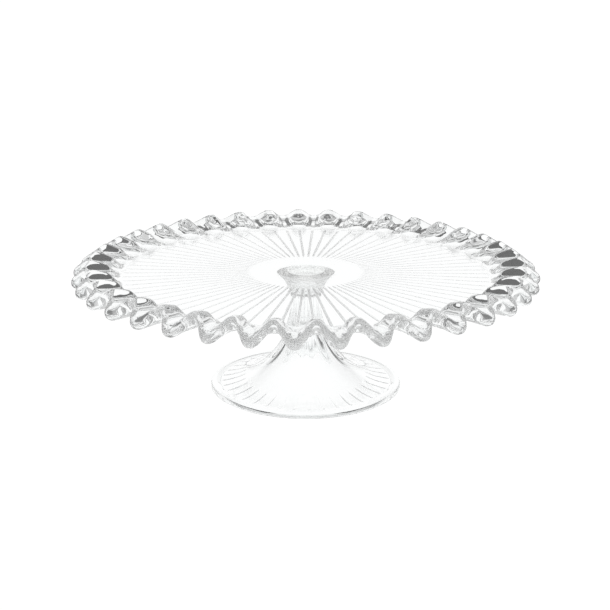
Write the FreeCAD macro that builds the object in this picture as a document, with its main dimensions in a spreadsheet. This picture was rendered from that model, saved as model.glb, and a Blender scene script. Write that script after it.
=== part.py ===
# Pressed-glass cake stand: a ruffled, rayed plate bonded onto a low hollow pedestal foot.
import FreeCAD, Part
import math
import os
import Sketcher
from FreeCAD import Vector, Rotation, Placement

doc = FreeCAD.newDocument("cake_stand")

# ---------------------------------------------------------------- driving sizes
SIZES = [
    # name, value, what it is on the stand (mm or counts)
    ("plate_radius", 151.0, "radius at the outermost points of the ruffle, the troughs"),
    ("plate_underside", 74.6, "height of the plate's flat underside above the table"),
    ("plate_thick", 4.8, "glass thickness of the flat plate"),
    ("flat_radius", 114.0, "radius of the truly flat middle of the plate"),
    ("ruffle_start", 120.0, "radius where the waves begin"),
    ("wave_count", 38, "waves round the ruffle"),
    ("wave_rise", 6.6, "how far a crest stands above a trough at the edge"),
    ("wave_fullness", 0.6, "0 for a plain sine wave, 1 for waves with level crests and troughs"),
    ("crest_inset", 9.5, "how far a crest's edge is drawn in from the trough's"),
    ("rim_thick", 8.0, "upright glass thickness of the rim, next to its rounded edge"),
    ("rim_nose", 3.6, "how far the rounded, fire-polished edge stands out of the rim"),
    ("ray_count", 76, "moulded rays under the plate, two to each wave"),
    ("ray_inner", 37.0, "radius where the rays start"),
    ("ray_outer", 117.0, "radius where the rays end, where the ruffle begins to lift"),
    ("ray_width", 1.1, "width of a ray at its root"),
    ("ray_crown", 0.2, "width of a ray at its crown"),
    ("ray_height", 0.45, "how far a ray stands out of the underside"),
    ("ray_bury", 0.4, "how far a ray's root reaches into the glass"),
    ("boss_radius", 16.5, "round boss under the plate that meets the foot"),
    ("boss_drop", 2.9, "how far the boss stands out under the plate"),
    ("boss_round", 2.7, "radius of the hollow round where the boss flows into the plate"),
    ("bond_thick", 0.2, "thickness of the clear bond between boss and neck"),
    ("foot_radius", 63.5, "radius of the foot on the table"),
    ("lip_radius", 60.3, "radius where the foot's lip meets the bell"),
    ("cove_radius", 52.0, "radius of the bell's cove, in section"),
    ("cove_out", 62.0, "distance of the cove's centre from the axis"),
    ("waist_height", 56.0, "height of the waist, level with the cove's centre"),
    ("flute_count", 12, "flutes round the neck"),
    ("flute_depth", 1.0, "depth of a flute at the waist"),
    ("wall", 3.6, "glass thickness of the bell"),
    ("hollow_radius", 57.0, "radius of the hollow's mouth, inside the ring that touches the table"),
    ("hollow_neck", 11.0, "radius where the hollow's bell turns into its dome"),
    ("hollow_top", 41.0, "height of the top of the hollow's dome"),
    ("foot_ray_count", 36, "moulded rays inside the bell, near its edge"),
    ("foot_ray_radius", 0.9, "radius of each ray's round crown"),
]

sheet = doc.addObject("Spreadsheet::Sheet", "sizes")
for row, (name, value, _) in enumerate(SIZES, start=1):
    sheet.set("A%d" % row, name)
    sheet.set("B%d" % row, repr(value))
    sheet.setAlias("B%d" % row, name)
doc.recompute()


def size(name):
    return float(sheet.get(name))


def derived(name, expression):
    """Add a size worked out from the ones above, in its own cell."""
    row = len(SIZES) + len(DERIVED) + 1
    sheet.set("A%d" % row, name)
    sheet.set("B%d" % row, "=" + expression)
    sheet.setAlias("B%d" % row, name)
    DERIVED.append(name)
    doc.recompute()


DERIVED = []
derived("plate_top", "plate_underside + plate_thick")
derived("bond_top", "plate_underside - boss_drop")
derived("foot_top", "bond_top - bond_thick")
derived("hollow_arc", "cove_radius + wall")


def wavy_surface(rings, closed_round):
    """Surface through rings of control points; every ring runs once round the axis."""
    around = len(rings[0])
    knots_round = [float(i) for i in range(around + 1)]
    mults_round = [1] * (around + 1)
    spans = len(rings) - 3
    knots_across = [float(i) for i in range(spans + 1)]
    mults_across = [4] + [1] * (spans - 1) + [4]
    surface = Part.BSplineSurface()
    poles = [[ring[i] for ring in rings] for i in range(around)]
    surface.buildFromPolesMultsKnots(poles, mults_round, mults_across, knots_round,
                                     knots_across, closed_round, False, 3, 3)
    return surface


def capped_solid(surface):
    """Close a surface that runs round the axis with a flat disc at each end."""
    side = surface.toShape()
    rims = [e for e in side.Edges if not e.isSeam(side)]
    caps = [Part.Face(Part.Wire([e])) for e in rims]
    shell = Part.makeShell([side] + caps)
    shell.sewShape()
    solid = Part.Solid(shell)
    if solid.Volume < 0:
        solid.reverse()
    return solid


# Control points pull a cubic curve inwards; these gains put it back on the intended shape.
def gain(points_per_turn):
    return 3.0 / (2.0 + math.cos(2 * math.pi / points_per_turn))


# ---------------------------------------------------------------- the plate
# The underside is level out to ruffle_start. From there it lifts in waves: troughs stay level
# with the plate and reach furthest out, crests rise and are drawn in. The upper skin stands
# above it by the glass thickness, measured straight up, as the plunger of the mould leaves it.
def wave(theta):
    """0 at the bottom of a trough, 1 at the top of a crest; both are broader than a sine wave's."""
    first = (0.5 + THIRD) * WAVE_GAIN * math.cos(size_waves * theta)
    third = THIRD * THIRD_GAIN * math.cos(3 * size_waves * theta)
    return 0.5 - first + third


def soft_step(x):
    x = min(max(x, 0.0), 1.0)
    return x * x * (3.0 - 2.0 * x)


def lift(t):
    """Share of the full wave reached at t: most of it by halfway, the rest at the edge."""
    return QUICK_SHARE * soft_step(t / QUICK_RUN) + (1.0 - QUICK_SHARE) * t ** 1.5


def reach(theta, t):
    """Distance from the axis, t = 0 at the ruffle's start and 1 where the edge rounds over."""
    edge = R_OUT - INSET * wave(theta) - NOSE
    return R_START + (edge - R_START) * t


def thickness(t):
    return PLATE + (RIM - PLATE) * soft_step(t)


def underside(theta, t):
    return Z_LOW + RISE * lift(t) * wave(theta)


def around_axis(theta, r, z):
    return Vector(r * math.cos(theta), r * math.sin(theta), z)


size_waves = int(size("wave_count"))
POINTS_PER_WAVE = 8
WAVE_GAIN = gain(POINTS_PER_WAVE)
# A little of the third harmonic levels the crests and troughs; all of it is a sixteenth.
THIRD = size("wave_fullness") / 16
THIRD_GAIN = gain(POINTS_PER_WAVE / 3)
R_OUT = size("plate_radius")
R_START = size("ruffle_start")
INSET = size("crest_inset")
RISE = size("wave_rise")
PLATE = size("plate_thick")
RIM = size("rim_thick")
NOSE = size("rim_nose")
Z_LOW = size("plate_underside")
QUICK_SHARE = 0.85
QUICK_RUN = 0.5
ROUND = gain(POINTS_PER_WAVE * size_waves)
STEPS_ACROSS = [0.0, 0.08, 0.17, 0.26, 0.35, 0.44, 0.54, 0.68, 0.82, 0.93, 1.0]
EDGE_TURN = [30, 60, 90, 120, 150]
EDGE_GAIN = gain(12)


def skin_point(theta, t, side):
    """Point on the upper (side 1) or lower (side -1) skin of the ruffle."""
    rise = thickness(t) if side > 0 else 0.0
    return around_axis(theta, reach(theta, t) * ROUND, underside(theta, t) + rise)


def edge_point(theta, degrees):
    """Point on the rounded edge, from 0 at the upper skin to 180 at the lower one."""
    turn = math.radians(degrees)
    out = NOSE * EDGE_GAIN * math.sin(turn)
    up = RIM / 2 * EDGE_GAIN * math.cos(turn)
    return around_axis(theta, reach(theta, 1.0) * ROUND + out, underside(theta, 1.0) + RIM / 2 + up)


def flat_point(theta, r, side):
    return around_axis(theta, r, Z_LOW + (PLATE if side > 0 else 0.0))


def plate_blank():
    angles = [2 * math.pi * i / (size_waves * POINTS_PER_WAVE)
              for i in range(size_waves * POINTS_PER_WAVE)]
    flat = [size("flat_radius") * ROUND, (size("flat_radius") + R_START) / 2 * ROUND]
    rings = [[flat_point(a, r, 1) for a in angles] for r in flat]
    rings += [[skin_point(a, t, 1) for a in angles] for t in STEPS_ACROSS]
    rings += [[edge_point(a, d) for a in angles] for d in EDGE_TURN]
    rings += [[skin_point(a, t, -1) for a in angles] for t in reversed(STEPS_ACROSS)]
    rings += [[flat_point(a, r, -1) for a in angles] for r in reversed(flat)]
    return capped_solid(wavy_surface(rings, True))


blank = doc.addObject("Part::Feature", "plate_blank")
blank.Shape = plate_blank()

plate = doc.addObject("PartDesign::Body", "cake_plate")
plate.Label = "cake_plate"
plate.BaseFeature = blank

boss = doc.addObject("PartDesign::AdditiveCylinder", "boss")
plate.addObject(boss)
boss.setExpression("Radius", "sizes.boss_radius")
boss.setExpression("Height", "sizes.boss_drop + sizes.ray_bury")
boss.setExpression("AttachmentOffset.Base.z", "sizes.bond_top")
boss.setExpression("Placement.Base.z", "sizes.bond_top")

doc.recompute()


def boss_root(edge):
    """True for the circle where the boss leaves the plate's underside."""
    if not hasattr(edge.Curve, "Radius"):
        return False
    level = abs(edge.Curve.Center.z - size("plate_underside")) < 0.01
    return level and abs(edge.Curve.Radius - size("boss_radius")) < 0.01


roots = ["Edge%d" % (i + 1) for i, edge in enumerate(boss.Shape.Edges) if boss_root(edge)]
boss_round = doc.addObject("PartDesign::Fillet", "boss_round")
plate.addObject(boss_round)
boss_round.Base = (boss, roots)
boss_round.setExpression("Radius", "sizes.boss_round")

ray = doc.addObject("PartDesign::AdditiveWedge", "ray")
plate.addObject(ray)
# The wedge's own Y is turned to point down, so its root is in the glass and its crown below.
ray.setExpression("Xmin", "sizes.ray_inner")
ray.setExpression("Xmax", "sizes.ray_outer")
ray.setExpression("X2min", "sizes.ray_inner + sizes.ray_height")
ray.setExpression("X2max", "sizes.ray_outer - sizes.ray_height")
ray.setExpression("Ymin", "-sizes.ray_bury")
ray.setExpression("Ymax", "sizes.ray_height")
ray.setExpression("Zmin", "-sizes.ray_width / 2")
ray.setExpression("Zmax", "sizes.ray_width / 2")
ray.setExpression("Z2min", "-sizes.ray_crown / 2")
ray.setExpression("Z2max", "sizes.ray_crown / 2")
ray.Placement = Placement(Vector(0, 0, size("plate_underside")), Rotation(Vector(1, 0, 0), -90))
ray.setExpression("Placement.Base.z", "sizes.plate_underside")

rays = doc.addObject("PartDesign::PolarPattern", "rays")
plate.addObject(rays)
rays.Originals = [ray]
axis_z = [o for o in plate.Origin.OriginFeatures if o.Role == "Z_Axis"][0]
rays.Axis = (axis_z, [""])
rays.Angle = 360
rays.setExpression("Occurrences", "sizes.ray_count")
plate.Tip = rays
doc.recompute()

# ---------------------------------------------------------------- the foot
# Outer skin: hub face, neck, waist, cove and lip. Flutes fade out down the bell.
FLUTES = int(size("flute_count"))
POINTS_PER_FLUTE = 8
COVE_R = size("cove_radius")
COVE_X = size("cove_out")
WAIST_Z = size("waist_height")


def flute_share(z):
    """Full flutes at the waist and neck, none at the foot of the bell or at the hub face."""
    low = min(max((z - 13.0) / 14.0, 0.0), 1.0)
    high = min(max((size("foot_top") - z) / 6.0, 0.0), 1.0)
    return low * low * (3 - 2 * low) * high * high * (3 - 2 * high)


def foot_ring(r, z):
    count = FLUTES * POINTS_PER_FLUTE
    depth = size("flute_depth") * flute_share(z) * (0.8 + 0.02 * r)
    points = []
    for i in range(count):
        theta = 2 * math.pi * i / count
        dip = 0.5 + 0.5 * gain(POINTS_PER_FLUTE) * math.cos(FLUTES * theta)
        radius = (r - depth * dip) * gain(count)
        points.append(Vector(radius * math.cos(theta), radius * math.sin(theta), z))
    return points


def foot_blank():
    rings = []
    top = size("foot_top")
    flare = [0.0, 0.1, 0.25, 0.45, 0.65, 0.82, 0.94]
    hub = size("boss_radius") - 0.4
    waist = COVE_X - COVE_R
    for s in flare:
        z = top + (WAIST_Z - top) * s
        rings.append(foot_ring(waist + (hub - waist) * (1 - s) ** 1.9, z))
    first = 4
    last = 88
    steps = 17
    for i in range(steps):
        phi = math.radians(first + (last - first) * i / (steps - 1))
        rings.append(foot_ring(COVE_X - COVE_R * math.cos(phi), WAIST_Z - COVE_R * math.sin(phi)))
    lip_top = WAIST_Z - COVE_R
    out = size("foot_radius")
    rings.append(foot_ring(size("lip_radius") + 1.4, lip_top))
    rings.append(foot_ring(out, lip_top - 0.6))
    rings.append(foot_ring(out, lip_top - 2.2))
    rings.append(foot_ring(out, 0.9))
    rings.append(foot_ring(out - 0.2, 0.0))
    rings.append(foot_ring(out - 1.2, 0.0))
    return capped_solid(wavy_surface(rings, True))


foot_outer = doc.addObject("Part::Feature", "foot_blank")
foot_outer.Shape = foot_blank()

foot = doc.addObject("PartDesign::Body", "pedestal_foot")
foot.Label = "pedestal_foot"
foot.BaseFeature = foot_outer

# Half-section of the hollow, drawn in the XZ plane and turned about the axis.
half = doc.addObject("Sketcher::SketchObject", "hollow_section")
foot.addObject(half)
xz = [o for o in foot.Origin.OriginFeatures if o.Role == "XZ_Plane"][0]
half.AttachmentSupport = (xz, [""])
half.MapMode = "FlatFace"
arc_r = size("hollow_arc")
mouth = size("hollow_radius")
neck = size("hollow_neck")
top = size("hollow_top")
z_mouth = WAIST_Z - math.sqrt(arc_r ** 2 - (COVE_X - mouth) ** 2)
z_neck = WAIST_Z - math.sqrt(arc_r ** 2 - (COVE_X - neck) ** 2)
dome_z = (top ** 2 - z_neck ** 2 - neck ** 2) / (2 * (top - z_neck))
dome_r = top - dome_z
a_start = math.atan2(z_neck - WAIST_Z, neck - COVE_X) + 2 * math.pi
a_end = math.atan2(z_mouth - WAIST_Z, mouth - COVE_X) + 2 * math.pi
cove_circle = Part.Circle(Vector(COVE_X, WAIST_Z, 0), Vector(0, 0, 1), arc_r)
dome_circle = Part.Circle(Vector(0, dome_z, 0), Vector(0, 0, 1), dome_r)
base_line = half.addGeometry(Part.LineSegment(Vector(0, -1, 0), Vector(mouth, -1, 0)))
wall_line = half.addGeometry(Part.LineSegment(Vector(mouth, -1, 0), Vector(mouth, z_mouth, 0)))
cove_arc = half.addGeometry(Part.ArcOfCircle(cove_circle, a_start, a_end))
d_start = math.atan2(z_neck - dome_z, neck)
dome_arc = half.addGeometry(Part.ArcOfCircle(dome_circle, d_start, math.pi / 2))
axis_line = half.addGeometry(Part.LineSegment(Vector(0, top, 0), Vector(0, -1, 0)))
START, END, CENTRE = 1, 2, 3
X_AXIS, Y_AXIS, ORIGIN = -1, -2, -1


def tie(*what):
    return half.addConstraint(Sketcher.Constraint(*what))


tie("Coincident", base_line, END, wall_line, START)
tie("Coincident", wall_line, END, cove_arc, END)
tie("Coincident", cove_arc, START, dome_arc, START)
tie("Coincident", dome_arc, END, axis_line, START)
tie("Coincident", axis_line, END, base_line, START)
tie("Horizontal", base_line)
tie("Vertical", wall_line)
tie("PointOnObject", axis_line, START, Y_AXIS)
tie("PointOnObject", axis_line, END, Y_AXIS)
tie("PointOnObject", dome_arc, CENTRE, Y_AXIS)
tie("DistanceY", axis_line, END, ORIGIN, 1, 1.0)
driven = [
    (tie("DistanceX", ORIGIN, 1, wall_line, START, mouth), "sizes.hollow_radius"),
    (tie("DistanceX", ORIGIN, 1, cove_arc, CENTRE, COVE_X), "sizes.cove_out"),
    (tie("DistanceY", ORIGIN, 1, cove_arc, CENTRE, WAIST_Z), "sizes.waist_height"),
    (tie("Radius", cove_arc, arc_r), "sizes.hollow_arc"),
    (tie("DistanceX", ORIGIN, 1, cove_arc, START, neck), "sizes.hollow_neck"),
    (tie("DistanceY", ORIGIN, 1, axis_line, START, top), "sizes.hollow_top"),
]
for index, rule in driven:
    half.setExpression("Constraints[%d]" % index, rule)
doc.recompute()

hollow = doc.addObject("PartDesign::Groove", "hollow")
foot.addObject(hollow)
hollow.Profile = half
hollow.ReferenceAxis = (half, ["V_Axis"])
hollow.Angle = 360
doc.recompute()

# Round-crowned rays moulded inside the bell; each lies along a chord of its inner skin.
RAY_IN = 40.0
RAY_OUT = 55.0
RAY_SET_IN = 0.25


def inner_height(r):
    return WAIST_Z - math.sqrt(arc_r ** 2 - (COVE_X - r) ** 2)


slope = math.atan2(inner_height(RAY_IN) - inner_height(RAY_OUT), RAY_OUT - RAY_IN)
foot_ray = doc.addObject("PartDesign::AdditiveCylinder", "foot_ray")
foot.addObject(foot_ray)
foot_ray.setExpression("Radius", "sizes.foot_ray_radius")
foot_ray.Height = (RAY_OUT - RAY_IN) / math.cos(slope)
start = Vector(RAY_OUT, 0, inner_height(RAY_OUT) + RAY_SET_IN)
lean = Rotation(Vector(0, 0, 1), Vector(-math.cos(slope), 0, math.sin(slope)))
half_pitch = Rotation(Vector(0, 0, 1), 180 / size("foot_ray_count"))
foot_ray.Placement = Placement(Vector(), half_pitch) * Placement(start, lean)
foot_rays = doc.addObject("PartDesign::PolarPattern", "foot_rays")
foot.addObject(foot_rays)
foot_rays.Originals = [foot_ray]
foot_axis = [o for o in foot.Origin.OriginFeatures if o.Role == "Z_Axis"][0]
foot_rays.Axis = (foot_axis, [""])
foot_rays.Angle = 360
foot_rays.setExpression("Occurrences", "sizes.foot_ray_count")
foot.Tip = foot_rays
doc.recompute()

# ---------------------------------------------------------------- the bond
# A thin film of clear cured adhesive fills the joint between boss and hub face.
bond = doc.addObject("Part::Cylinder", "bond_film")
bond.Label = "bond_film"
bond.setExpression("Radius", "sizes.boss_radius - 1")
bond.setExpression("Height", "sizes.bond_thick")
bond.setExpression("Placement.Base.z", "sizes.foot_top")
doc.recompute()

# ---------------------------------------------------------------- check and write out
PIECES = [plate, foot, bond]
for thing in doc.Objects:
    if "Invalid" in thing.State or "Error" in thing.State:
        raise RuntimeError("%s did not build: %s" % (thing.Name, thing.State))
for piece in PIECES:
    if piece.Shape.isNull() or not piece.Shape.isValid():
        raise RuntimeError("%s has no valid shape" % piece.Label)
if hollow.Shape.Volume >= foot_outer.Shape.Volume:
    raise RuntimeError("the hollow was not cut out of the foot")
for piece in PIECES:
    if len(piece.Shape.Solids) != 1:
        raise RuntimeError("%s is not one solid" % piece.Label)

os.makedirs("parts", exist_ok=True)
for piece in PIECES:
    piece.Shape.exportStep("parts/%s.step" % piece.Label)
    box = piece.Shape.optimalBoundingBox(False)
    print(piece.Label, "faces", len(piece.Shape.Faces), "solids", len(piece.Shape.Solids),
          "volume %.0f" % piece.Shape.Volume,
          "x %.1f..%.1f z %.2f..%.2f" % (box.XMin, box.XMax, box.ZMin, box.ZMax))
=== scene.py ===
# %% [markdown]
# # A pressed-glass cake stand
# The stand is two pressings of clear glass joined by a film of adhesive: a round plate with a
# ruffled rim, and a low bell-shaped foot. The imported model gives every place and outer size; this
# lesson adds smooth glass skins, clear glass materials, a pale table and soft studio light.

# %% Load the fixed frame
import math

import bpy
import numpy as np
from mathutils import Matrix, Vector


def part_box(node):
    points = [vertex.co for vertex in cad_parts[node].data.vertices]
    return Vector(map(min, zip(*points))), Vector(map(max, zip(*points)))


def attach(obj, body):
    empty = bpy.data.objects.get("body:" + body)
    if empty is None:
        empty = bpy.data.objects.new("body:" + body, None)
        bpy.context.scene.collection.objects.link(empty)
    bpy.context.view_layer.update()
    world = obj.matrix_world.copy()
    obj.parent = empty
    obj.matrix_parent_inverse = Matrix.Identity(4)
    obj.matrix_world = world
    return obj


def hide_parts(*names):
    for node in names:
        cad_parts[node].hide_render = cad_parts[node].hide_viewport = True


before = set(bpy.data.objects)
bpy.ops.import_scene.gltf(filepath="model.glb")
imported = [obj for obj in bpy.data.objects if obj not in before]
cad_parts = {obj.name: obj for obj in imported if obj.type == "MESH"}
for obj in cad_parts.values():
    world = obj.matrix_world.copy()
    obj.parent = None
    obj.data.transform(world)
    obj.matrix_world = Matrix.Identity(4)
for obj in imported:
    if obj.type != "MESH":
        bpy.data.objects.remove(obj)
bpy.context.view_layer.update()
MM = 0.001

# %% [markdown]
# ## Sizes of the plate
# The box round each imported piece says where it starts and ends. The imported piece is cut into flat
# facets, which leave its box a few hundredths of a millimetre short at the rim, so the radius is
# written here with the sizes that no box gives, such as the depth of a wave or the thickness of
# the glass. Every size is in metres, written as millimetres times MM.

# %% Read the boxes and name the plate's sizes
plate_low, plate_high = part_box("cake_plate")
bond_low, bond_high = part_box("bond_film")

PLATE_RADIUS = 151.0 * MM
PLATE_UNDERSIDE = 74.6 * MM
PLATE_THICK = 4.8 * MM
PLATE_TOP = PLATE_UNDERSIDE + PLATE_THICK
RIM_THICK = 8.0 * MM
RIM_NOSE = 3.6 * MM
RUFFLE_START = 120.0 * MM
WAVES = 38
WAVE_RISE = 6.6 * MM
CREST_INSET = 9.5 * MM
print("plate glass from z %.1f to %.1f mm" % (plate_low.z / MM, plate_high.z / MM))

# %% [markdown]
# ## A skin made of rings
# Both glass pieces are closed skins that run once round the same upright axis. A spun profile
# would do for a plain plate, but not for waves, flutes and rays. A mesh of rings does all three:
# every ring has the same number of points, neighbouring rings are joined by four-sided faces, and
# a single point closes each end. Glass bends what is seen through it, so the rings are close
# together wherever the skin curves.

# %% Join rings into one closed mesh
def ring(angles, r, z):
    """Points at radius r and height z; either may change from angle to angle."""
    r = np.broadcast_to(r, angles.shape)
    z = np.broadcast_to(z, angles.shape)
    return np.stack([r * np.cos(angles), r * np.sin(angles), z], -1)


def turns(degrees, count):
    """Evenly spaced angles from 0 to the given degrees, both included."""
    return np.radians(np.linspace(0, degrees, count))


def skin_from_rings(name, rings, first_point, last_point):
    """Close a list of rings, given in order, with a point at each end."""
    count = len(rings[0])
    points = np.vstack([np.array([first_point])] + rings + [np.array([last_point])])
    step = np.arange(count)
    following = (step + 1) % count
    faces = np.stack([0 * step, 1 + step, 1 + following], 1).tolist()
    for k in range(len(rings) - 1):
        a = 1 + k * count
        b = a + count
        faces += np.stack([a + step, b + step, b + following, a + following], 1).tolist()
    last = 1 + (len(rings) - 1) * count
    end = len(points) - 1
    faces += np.stack([last + step, 0 * step + end, last + following], 1).tolist()
    mesh = bpy.data.meshes.new(name)
    mesh.from_pydata(points.tolist(), [], faces)
    mesh.update()
    mesh.polygons.foreach_set("use_smooth", np.ones(len(mesh.polygons), bool))
    piece = bpy.data.objects.new(name, mesh)
    bpy.context.scene.collection.objects.link(piece)
    print("%s: %d faces" % (name, len(mesh.polygons)))
    return piece

# %% [markdown]
# ## Angles round the plate
# The plate's rays are narrow beside the spaces between them. Points spread evenly round the plate
# would need to be very many to catch a ray's sides, so they are gathered on the rays instead:
# twelve points to each ray and its space, closest together on the ray.

# %% Angles gathered on the rays
RAYS = 2 * WAVES
SHARES = np.array([0.0, 0.04, 0.08, 0.13, 0.22, 0.35, 0.5, 0.65, 0.78, 0.87, 0.92, 0.96])
theta = (np.arange(RAYS)[:, None] + SHARES[None, :]).ravel() * 2 * math.pi / RAYS
print("%d points round the plate" % len(theta))

# %% [markdown]
# ## The ruffle
# On the real plate the mould gives the rim its waves, so both skins are simple formulas. The
# underside is level out to the ruffle's start, then lifts into crests that are also drawn in a
# little, while the troughs stay level. Crests and troughs are broader than a sine wave's, which a
# little of the third harmonic gives: a fullness of 0 is a plain sine, and 1 is flat on top. The
# upper skin stands straight above the lower one by the thickness of the glass, which grows from
# the thin plate to the heavy rim.

# %% Height, reach and thickness of the ruffle
QUICK_SHARE = 0.85
QUICK_RUN = 0.5
SLOW_POWER = 1.5
FULLNESS = 0.6
THIRD = FULLNESS / 16
# 0 in a trough, 1 on a crest
crest = 0.5 - (0.5 + THIRD) * np.cos(WAVES * theta) + THIRD * np.cos(3 * WAVES * theta)


def soft_step(x):
    """0 up to x = 0 and 1 from x = 1, with a soft start and stop between."""
    x = np.clip(x, 0.0, 1.0)
    return x * x * (3 - 2 * x)


def lift_share(t):
    """Share of the full wave reached at t: most of it by halfway, the rest at the edge."""
    return QUICK_SHARE * soft_step(t / QUICK_RUN) + (1 - QUICK_SHARE) * t ** SLOW_POWER


def ruffle_ring(t, above=0.0, out=0.0):
    """A ring at t across the ruffle; above is a share of the thickness, out is a distance."""
    edge = PLATE_RADIUS - CREST_INSET * crest - RIM_NOSE
    r = RUFFLE_START + (edge - RUFFLE_START) * t
    thickness = PLATE_THICK + (RIM_THICK - PLATE_THICK) * soft_step(t)
    z = PLATE_UNDERSIDE + WAVE_RISE * lift_share(t) * crest
    return ring(theta, r + out, z + thickness * above)


print("ruffle: %d waves, %.1f mm high" % (WAVES, WAVE_RISE / MM))

# %% [markdown]
# ## Rays under the plate
# Fine grooves in the mould leave a low ridge under the plate for each ray, two to every wave of
# the rim. A ridge has even width from end to end, so its share of the circle shrinks as the radius
# grows. It rises softly out of the glass near the boss and sinks back into it where the ruffle
# begins. The rays are real geometry, since clear glass shows a ridge only by bending light in its
# sides.

# %% Shape of a ray
RAY_INNER = 37.0 * MM
RAY_OUTER = 118.5 * MM
RAY_RISE_RUN = 6.0 * MM
RAY_SINK_RUN = 4.0 * MM
RAY_HEIGHT = 0.45 * MM
RAY_HALF_WIDTH = 0.6 * MM


def ray_drop(r):
    """How far the underside hangs at radius r: RAY_HEIGHT on a ray's crown, 0 between rays."""
    share = (RAYS * theta / (2 * math.pi) + 0.5) % 1.0 - 0.5
    sideways = np.abs(share) * 2 * math.pi * r / RAYS
    profile = np.clip(1.0 - sideways / RAY_HALF_WIDTH, 0.0, 1.0)
    rise = soft_step((r - RAY_INNER) / RAY_RISE_RUN)
    sink = soft_step((RAY_OUTER - r) / RAY_SINK_RUN)
    return RAY_HEIGHT * profile * rise * sink


print("%d rays, %.2f mm high" % (RAYS, RAY_HEIGHT / MM))

# %% [markdown]
# ## The plate's skin
# The skin starts at the centre of the upper face, runs out over the ruffle, round the
# fire-polished edge, and back underneath over the rays, with rings closest where the rays start
# and stop. The boss meets the plate in a small hollow round and ends where the bond begins.

# %% Rings of the plate
BOSS_RADIUS = 16.5 * MM
BOSS_ROUND = 2.7 * MM
BOSS_FLAT = 3.0 * MM
CENTRE_RING = 4.0 * MM
TOP_RADII = np.array([4, 30, 60, 90, 110, 117]) * MM
RAY_STRETCHES = (np.linspace(118.5, 111, 6), np.linspace(105, 45, 7), np.linspace(43, 36, 6))
UNDER_RADII = np.concatenate(RAY_STRETCHES) * MM


def ruffle_rings():
    """Out over the upper skin, round the edge, and back along the lower skin."""
    across = np.linspace(0.0, 1.0, 25)
    rings = [ruffle_ring(t, above=1.0) for t in across]
    for turn in turns(180, 15)[1:-1]:
        above = 0.5 + 0.5 * math.cos(turn)
        rings.append(ruffle_ring(1.0, above=above, out=RIM_NOSE * math.sin(turn)))
    return rings + [ruffle_ring(t) for t in across[::-1]]


def boss_rings():
    rings = [ring(theta, BOSS_RADIUS + BOSS_ROUND + BOSS_FLAT, PLATE_UNDERSIDE)]
    for turn in turns(90, 12):
        r = BOSS_RADIUS + BOSS_ROUND * (1 - math.sin(turn))
        rings.append(ring(theta, r, PLATE_UNDERSIDE - BOSS_ROUND * (1 - math.cos(turn))))
    rings.append(ring(theta, BOSS_RADIUS, bond_high.z))
    rings.append(ring(theta, CENTRE_RING, bond_high.z))
    return rings


plate_rings = [ring(theta, r, PLATE_TOP) for r in TOP_RADII] + ruffle_rings()
plate_rings += [ring(theta, r, PLATE_UNDERSIDE - ray_drop(r)) for r in UNDER_RADII]
plate_rings += boss_rings()
plate = skin_from_rings("cake_plate_glass", plate_rings, (0, 0, PLATE_TOP), (0, 0, bond_high.z))
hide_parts("cake_plate")
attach(plate, "root")

# %% [markdown]
# ## The foot's neck and cove
# The foot is a bell pressed over a plunger. Outside it sweeps in one long cove from the lip up to
# a slim waist, then flares to meet the boss. Twelve flutes run down the neck and fade out on the
# bell, growing deeper as the bell widens.

# %% Rings of the fluted neck and cove
foot_low, foot_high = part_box("pedestal_foot")
FOOT_TOP = foot_high.z
FOOT_RAYS = 36
POINTS_A_RAY = 16
HUB_RADIUS = BOSS_RADIUS - 0.4 * MM
FLARE_POWER = 1.9
COVE_RADIUS = 52.0 * MM
COVE_OUT = 62.0 * MM
COVE_DEGREES = 88.2
WAIST_Z = 56.0 * MM
WAIST_RADIUS = COVE_OUT - COVE_RADIUS
FLUTES = 12
FLUTE_DEPTH = 1.0 * MM
FLUTE_START_Z = 13.0 * MM
FLUTE_START_RUN = 14.0 * MM
FLUTE_END_RUN = 6.0 * MM
FLUTE_BASE = 0.8
FLUTE_GROWTH = 50.0 * MM
NECK_TOP_SHARES = (0.3, 0.97)
foot_theta = np.linspace(0.0, 2 * math.pi, FOOT_RAYS * POINTS_A_RAY, endpoint=False)


def fluted_ring(r, z):
    low = soft_step((z - FLUTE_START_Z) / FLUTE_START_RUN)
    high = soft_step((FOOT_TOP - z) / FLUTE_END_RUN)
    deeper = FLUTE_BASE + r / FLUTE_GROWTH
    dip = 0.5 + 0.5 * np.cos(FLUTES * foot_theta)
    return ring(foot_theta, r - FLUTE_DEPTH * low * high * deeper * dip, z)


def neck_rings():
    rings = [fluted_ring(HUB_RADIUS * share, FOOT_TOP) for share in NECK_TOP_SHARES]
    for down in np.linspace(0.0, 1.0, 22)[:-1]:
        r = WAIST_RADIUS + (HUB_RADIUS - WAIST_RADIUS) * (1 - down) ** FLARE_POWER
        rings.append(fluted_ring(r, FOOT_TOP + (WAIST_Z - FOOT_TOP) * down))
    for turn in turns(COVE_DEGREES, 60):
        r = COVE_OUT - COVE_RADIUS * math.cos(turn)
        rings.append(fluted_ring(r, WAIST_Z - COVE_RADIUS * math.sin(turn)))
    return rings


print("foot glass from z %.1f to %.1f mm" % (foot_low.z / MM, foot_high.z / MM))
print("waist %.0f mm across, %d flutes" % (2 * WAIST_RADIUS / MM, FLUTES))

# %% [markdown]
# ## The foot's lip
# The bell ends in a rounded lip that drops to the table. Only a narrow ring touches the table, and
# its outer corner is eased, as ground and fire-polished glass is.

# %% Rings of the lip
FOOT_RADIUS = 63.5 * MM
LIP_OUT = 2.4 * MM
LIP_DROP = 2.2 * MM
TOE_ROUND = 1.0 * MM


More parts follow.
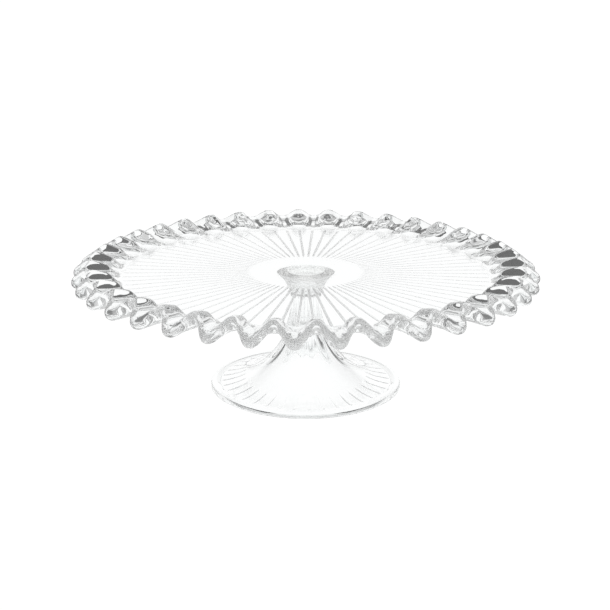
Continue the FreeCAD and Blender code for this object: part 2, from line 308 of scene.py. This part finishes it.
def lip_rings():
    rings = []
    lip_top = WAIST_Z - COVE_RADIUS
    for turn in turns(90, 9):
        r = FOOT_RADIUS - LIP_OUT * (1 - math.sin(turn))
        rings.append(ring(foot_theta, r, lip_top - LIP_DROP * (1 - math.cos(turn))))
    for turn in turns(90, 5):
        r = FOOT_RADIUS - TOE_ROUND * (1 - math.cos(turn))
        rings.append(ring(foot_theta, r, TOE_ROUND * (1 - math.sin(turn))))
    return rings


print("foot %.0f mm across" % (2 * FOOT_RADIUS / MM))

# %% [markdown]
# ## The hollow of the foot
# Inside, the same cove is offset by the wall's thickness and ends in a small dome, left by the tip
# of the plunger. Fine rays run inside the bell near its edge, where they stay clear of the ring
# that rests on the table. Walking the rings up the inside closes the foot into one solid of glass.

# %% Rings of the hollow, and the whole foot
WALL = 3.6 * MM
HOLLOW_RADIUS = 57.0 * MM
HOLLOW_EASE = 0.3 * MM
HOLLOW_NECK = 11.0 * MM
HOLLOW_TOP = 41.0 * MM
FOOT_RAY_HEIGHT = 0.35 * MM
FOOT_RAY_INNER = 39.0 * MM
FOOT_RAY_OUTER = 56.5 * MM
FOOT_RAY_RISE_RUN = 4.0 * MM
FOOT_RAY_SINK_RUN = 3.0 * MM
FOOT_RAY_SLOPE = 1.6


def inner_cove(r):
    return WAIST_Z - math.sqrt((COVE_RADIUS + WALL) ** 2 - (COVE_OUT - r) ** 2)


def bell_rings():
    rings = [ring(foot_theta, HOLLOW_RADIUS + HOLLOW_EASE, 0.0)]
    ray = np.clip(1 + FOOT_RAY_SLOPE * (np.cos(FOOT_RAYS * foot_theta) - 1), 0, 1)
    for r in np.linspace(HOLLOW_RADIUS, HOLLOW_NECK, 56):
        rise = soft_step((r - FOOT_RAY_INNER) / FOOT_RAY_RISE_RUN)
        sink = soft_step((FOOT_RAY_OUTER - r) / FOOT_RAY_SINK_RUN)
        rings.append(ring(foot_theta, r, inner_cove(r) - FOOT_RAY_HEIGHT * ray * rise * sink))
    return rings


def dome_rings():
    """A round dome from the hollow's neck to its top, without its first and last points."""
    neck_z = inner_cove(HOLLOW_NECK)
    centre = (HOLLOW_TOP ** 2 - neck_z ** 2 - HOLLOW_NECK ** 2) / (2 * (HOLLOW_TOP - neck_z))
    radius = HOLLOW_TOP - centre
    slopes = np.linspace(math.atan2(neck_z - centre, HOLLOW_NECK), math.pi / 2, 14)[1:-1]
    return [ring(foot_theta, radius * math.cos(a), centre + radius * math.sin(a)) for a in slopes]


foot_rings = neck_rings() + lip_rings() + bell_rings() + dome_rings()
foot = skin_from_rings("pedestal_foot_glass", foot_rings, (0, 0, FOOT_TOP), (0, 0, HOLLOW_TOP))
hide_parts("pedestal_foot")
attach(foot, "root")

# %% [markdown]
# ## The bond
# Cured clear adhesive has nearly the same refractive index as glass, so a good joint almost
# vanishes. Light only passes cleanly from one glass body to the next where their skins overlap, so
# this disc is a tenth of a millimetre thicker on each side than the real film.

# %% Disc of the bond film
HAIR = 0.1 * MM
bond_theta = np.linspace(0.0, 2 * math.pi, 192, endpoint=False)
low, high = bond_low.z - HAIR, bond_high.z + HAIR
bond_radius = bond_high.x
bond_profile = ((bond_radius / 2, high), (bond_radius - HAIR, high), (bond_radius, high - HAIR),
                (bond_radius, low + HAIR), (bond_radius - HAIR, low), (bond_radius / 2, low))
bond_rings = [ring(bond_theta, r, z) for r, z in bond_profile]
bond = skin_from_rings("bond_film_clear", bond_rings, (0, 0, high), (0, 0, low))
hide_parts("bond_film")
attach(bond, "root")

# %% [markdown]
# ## Colours and nodes
# Colours are given as sRGB hex values, but shaders work in linear light, so one function turns
# one into the other. Another adds any node with its settings, values and links in one line, which
# keeps each material short enough to read at a glance.

# %% Colour and node helpers
def linear(hex_colour):
    """sRGB hex, such as #F4F6F6, to the linear colour that shaders use."""
    out = []
    for k in (1, 3, 5):
        c = int(hex_colour[k:k + 2], 16) / 255
        out.append(c / 12.92 if c <= 0.04045 else ((c + 0.055) / 1.055) ** 2.4)
    return (*out, 1.0)


def add_node(tree, kind, settings=None, values=None, links=None):
    """Add one node; settings are its properties, values its input values, links its inputs."""
    node = tree.nodes.new(kind)
    for key, value in (settings or {}).items():
        setattr(node, key, value)
    for key, value in (values or {}).items():
        node.inputs[key].default_value = value
    for key, source in (links or {}).items():
        tree.links.new(source, node.inputs[key])
    return node


def new_material(name):
    material = bpy.data.materials.new(name)
    material.use_nodes = True
    material.node_tree.nodes.clear()
    return material, material.node_tree


WHITE = linear("#FFFFFF")
print("middle grey #808080 is %.3f in linear light" % linear("#808080")[0])

# %% [markdown]
# ## Clear glass
# A principled surface with full transmission is clear glass. Its index says how far it bends
# light: 1.52 is ordinary soda-lime glass, and clear acrylic adhesive is close to it. A pressed skin
# is never optically flat. The mould leaves faint waves a few millimetres apart, and polishing by
# flame leaves some patches smoother than others. Both are noise in object space, measured in
# millimetres, and both are very weak, because most of the look comes from the shape.

# %% A clear body with ripple and patches
PATCH = 30.0 * MM
PATCH_START = 0.45
PATCH_END = 0.7


def clear_body(name, tint, index, ripple, ripple_height, haze):
    """ripple is the spacing of the surface waves, haze the roughness of the dullest patch."""
    material, tree = new_material(name)
    place = add_node(tree, "ShaderNodeTexCoord").outputs["Object"]
    waves = add_node(tree, "ShaderNodeTexNoise", values={"Scale": 1 / ripple, "Detail": 1.0},
                     links={"Vector": place})
    skin = add_node(tree, "ShaderNodeBump", values={"Strength": 1.0, "Distance": ripple_height},
                    links={"Height": waves.outputs["Fac"]})
    patches = add_node(tree, "ShaderNodeTexNoise", values={"Scale": 1 / PATCH, "Detail": 2.0},
                       links={"Vector": place})
    polish = add_node(tree, "ShaderNodeMapRange", values={1: PATCH_START, 2: PATCH_END, 4: haze},
                      links={0: patches.outputs["Fac"]})
    shader = add_node(tree, "ShaderNodeBsdfPrincipled",
                      values={"Base Color": linear(tint), "IOR": index, "Transmission Weight": 1.0},
                      links={"Normal": skin.outputs[0], "Roughness": polish.outputs[0]})
    add_node(tree, "ShaderNodeOutputMaterial", links={"Surface": shader.outputs[0]})
    print("material %s: index %.2f, ripple every %.0f mm" % (name, index, ripple / MM))
    return material

# %% [markdown]
# ## Pressed soda-lime glass
# Both pressings are soda-lime glass, shaped by an iron mould and then fire-polished. That gives
# the eye a bright, almost colourless body with a trace of cool tint and slightly soft outlines.
# The plate and the foot come from two moulds, so their ripple differs a little.

# %% Glass of the plate and of the foot
GLASS_TINT = "#FDFEFE"
GLASS_INDEX = 1.52
GLASS_RIPPLE_HEIGHT = 0.01 * MM
GLASS_HAZE = 0.01
for piece, name, ripple in ((plate, "pressed_soda_lime_glass_plate", 7.0 * MM),
                            (foot, "pressed_soda_lime_glass_foot", 6.0 * MM)):
    glass = clear_body(name, GLASS_TINT, GLASS_INDEX, ripple, GLASS_RIPPLE_HEIGHT, GLASS_HAZE)
    piece.data.materials.append(glass)

# %% [markdown]
# ## Cured clear acrylic
# The adhesive cures under light into a hard clear film. It matches the glass it joins, and is
# only a touch warmer and less even, so the joint is hardly seen.

# %% Acrylic of the bond
ACRYLIC_RIPPLE = 3.0 * MM
ACRYLIC_RIPPLE_HEIGHT = 0.001 * MM
ACRYLIC_HAZE = 0.02
bond.data.materials.append(clear_body("clear_cured_acrylic", "#FDFDFC", GLASS_INDEX,
                                      ACRYLIC_RIPPLE, ACRYLIC_RIPPLE_HEIGHT, ACRYLIC_HAZE))

# %% [markdown]
# ## Table
# Clear glass is set on a white acrylic top lit from beneath, so that it is seen against even white
# and throws no grey shadow. The top is only a little wider than the stand: waves at the far left
# and right of the ruffle then look past its edge to the dark floor behind, which draws them.

# %% Lit white table top
TABLE_HALF_WIDTH = 200.0 * MM
TABLE_BACK = 600.0 * MM
TABLE_FRONT = -1200.0 * MM
TABLE_GAP = 0.05 * MM
TABLE_LIGHT = 1.05
corners = [(x, y, -TABLE_GAP) for x, y in ((-TABLE_HALF_WIDTH, TABLE_FRONT),
                                           (TABLE_HALF_WIDTH, TABLE_FRONT),
                                           (TABLE_HALF_WIDTH, TABLE_BACK),
                                           (-TABLE_HALF_WIDTH, TABLE_BACK))]
top_mesh = bpy.data.meshes.new("table_top")
top_mesh.from_pydata(corners, [], [(0, 1, 2, 3)])
table = bpy.data.objects.new("pale_table", top_mesh)
bpy.context.scene.collection.objects.link(table)
acrylic, tree = new_material("lit_white_acrylic")
glow = add_node(tree, "ShaderNodeEmission", values={"Color": WHITE, "Strength": TABLE_LIGHT})
add_node(tree, "ShaderNodeOutputMaterial", links={"Surface": glow.outputs[0]})
table.data.materials.append(acrylic)
print("table %.0f mm wide" % (2 * TABLE_HALF_WIDTH / MM))

# %% [markdown]
# ## Surroundings
# Glass shows its shape only by bending bright and dark places into view, so the room is drawn as a
# few large soft patches round a dim base. A white panel behind the table reaches from its level to
# about 30 degrees up, and fills the sheen on the plate's flat face. The ceiling is pale, and so is
# the floor at the sides and in front. The floor behind the table is dark, and the sides of the
# ruffle pick it up. Each patch is a product of soft edges along the direction's Y and Z, where Y
# points to the back of the room, and that keeps the whole room in one small shader.

# %% Patches of light round a dim room
ROOM = 0.18
BEGINS, ENDS = True, False
# Each patch has a level, then its edges: axis, where the edge starts and stops, and what it does.
PATCHES = {
    "white panel": (0.95, (("Y", 0.72, 0.86, BEGINS), ("Z", -0.01, 0.03, BEGINS),
                           ("Z", 0.48, 0.62, ENDS))),
    "dark floor behind": (0.11, (("Y", 0.10, 0.30, BEGINS), ("Z", -0.07, 0.0, ENDS))),
    "pale floor at the sides": (0.85, (("Y", 0.0, 0.20, ENDS), ("Z", -0.07, 0.0, ENDS))),
    "ceiling": (0.66, (("Z", 0.55, 0.80, BEGINS),)),
}
world = bpy.data.worlds.new("soft_white_studio")
bpy.context.scene.world = world
world.use_nodes = True
tree = world.node_tree
tree.nodes.clear()
coords = add_node(tree, "ShaderNodeTexCoord")
direction = add_node(tree, "ShaderNodeSeparateXYZ", links={0: coords.outputs["Generated"]})
total = None
for patch, (level, edges) in PATCHES.items():
    share = None
    for axis, start, stop, begins in edges:
        edge = add_node(tree, "ShaderNodeMapRange", {"interpolation_type": "SMOOTHSTEP"},
                        {1: start, 2: stop, 3: float(not begins), 4: float(begins)},
                        {0: direction.outputs[axis]}).outputs[0]
        if share is not None:
            edge = add_node(tree, "ShaderNodeMath", {"operation": "MULTIPLY"},
                            links={0: share, 1: edge}).outputs[0]
        share = edge
    total = add_node(tree, "ShaderNodeMath", {"operation": "MULTIPLY_ADD"},
                     {1: level - ROOM, 2: ROOM},
                     {0: share, 2: total} if total else {0: share}).outputs[0]
    print("%s at %.2f, room at %.2f" % (patch, level, ROOM))

# %% [markdown]
# ## Plain backdrop
# Seen directly, the room is the same plain white as the table, as a bright backdrop is in a studio.
# Only light that has met the glass sees the patches. Light crosses the heavy rim many times before
# it leaves, and a path that is cut off early turns black, so paths are allowed to be long.

# %% White to the eye, patches to the glass
BACKDROP = 1.05
LONGEST_PATH = 128
studio = add_node(tree, "ShaderNodeBackground", values={"Color": WHITE}, links={"Strength": total})
plain = add_node(tree, "ShaderNodeBackground", values={"Color": WHITE, "Strength": BACKDROP})
path = add_node(tree, "ShaderNodeLightPath")
mix = add_node(tree, "ShaderNodeMixShader", links={0: path.outputs["Is Camera Ray"],
                                                   1: studio.outputs[0], 2: plain.outputs[0]})
add_node(tree, "ShaderNodeOutputWorld", links={"Surface": mix.outputs[0]})

scene = bpy.context.scene
scene.view_settings.view_transform = "Standard"
scene.cycles.max_bounces = LONGEST_PATH
scene.cycles.transmission_bounces = LONGEST_PATH
scene.cycles.glossy_bounces = LONGEST_PATH
scene.cycles.min_light_bounces = LONGEST_PATH // 2
scene.cycles.use_denoising = True
print("paths of up to %d bounces" % LONGEST_PATH)

# %% [markdown]
# ## Camera
# The stand is seen from a little above its rim and nearly straight in front. A long lens from
# almost 80 cm keeps the ruffle's front and back waves close in size. The camera is placed by its
# angles round the plate's centre and looks at it, then is tipped down a little more so that the
# plate sits above the middle of the view, with room for the foot. The slight turn to the side and
# the slight roll are those of a tripod set by hand.

# %% Place and aim the camera
SENSOR = 36.0
LENS = 70.52459
DISTANCE = 783.0 * MM
AIM_HEIGHT = 76.0 * MM
ELEVATION = math.radians(15.5)
TURN = math.radians(-2.37)
TIP = math.radians(1.46204)
SIDE = math.radians(0.03836)
ROLL = math.radians(0.15)
camera_data = bpy.data.cameras.new("viewpoint")
camera_data.sensor_width = SENSOR
camera_data.lens = LENS
camera_data.clip_start = 10.0 * MM
camera = bpy.data.objects.new("viewpoint", camera_data)
bpy.context.scene.collection.objects.link(camera)
target = Vector((0, 0, AIM_HEIGHT))
level_reach = math.cos(ELEVATION)
back = Vector((math.sin(TURN) * level_reach, -math.cos(TURN) * level_reach, math.sin(ELEVATION)))
camera.location = target + back * DISTANCE
aim = (-back).to_track_quat("-Z", "Y").to_matrix().to_4x4()
for angle, axis in ((-TIP, "X"), (SIDE, "Y"), (ROLL, "Z")):
    aim = aim @ Matrix.Rotation(angle, 4, axis)
camera.rotation_euler = aim.to_euler()
scene.camera = camera
print("camera %.0f mm from the plate, lens %.1f mm" % (DISTANCE / MM, LENS))
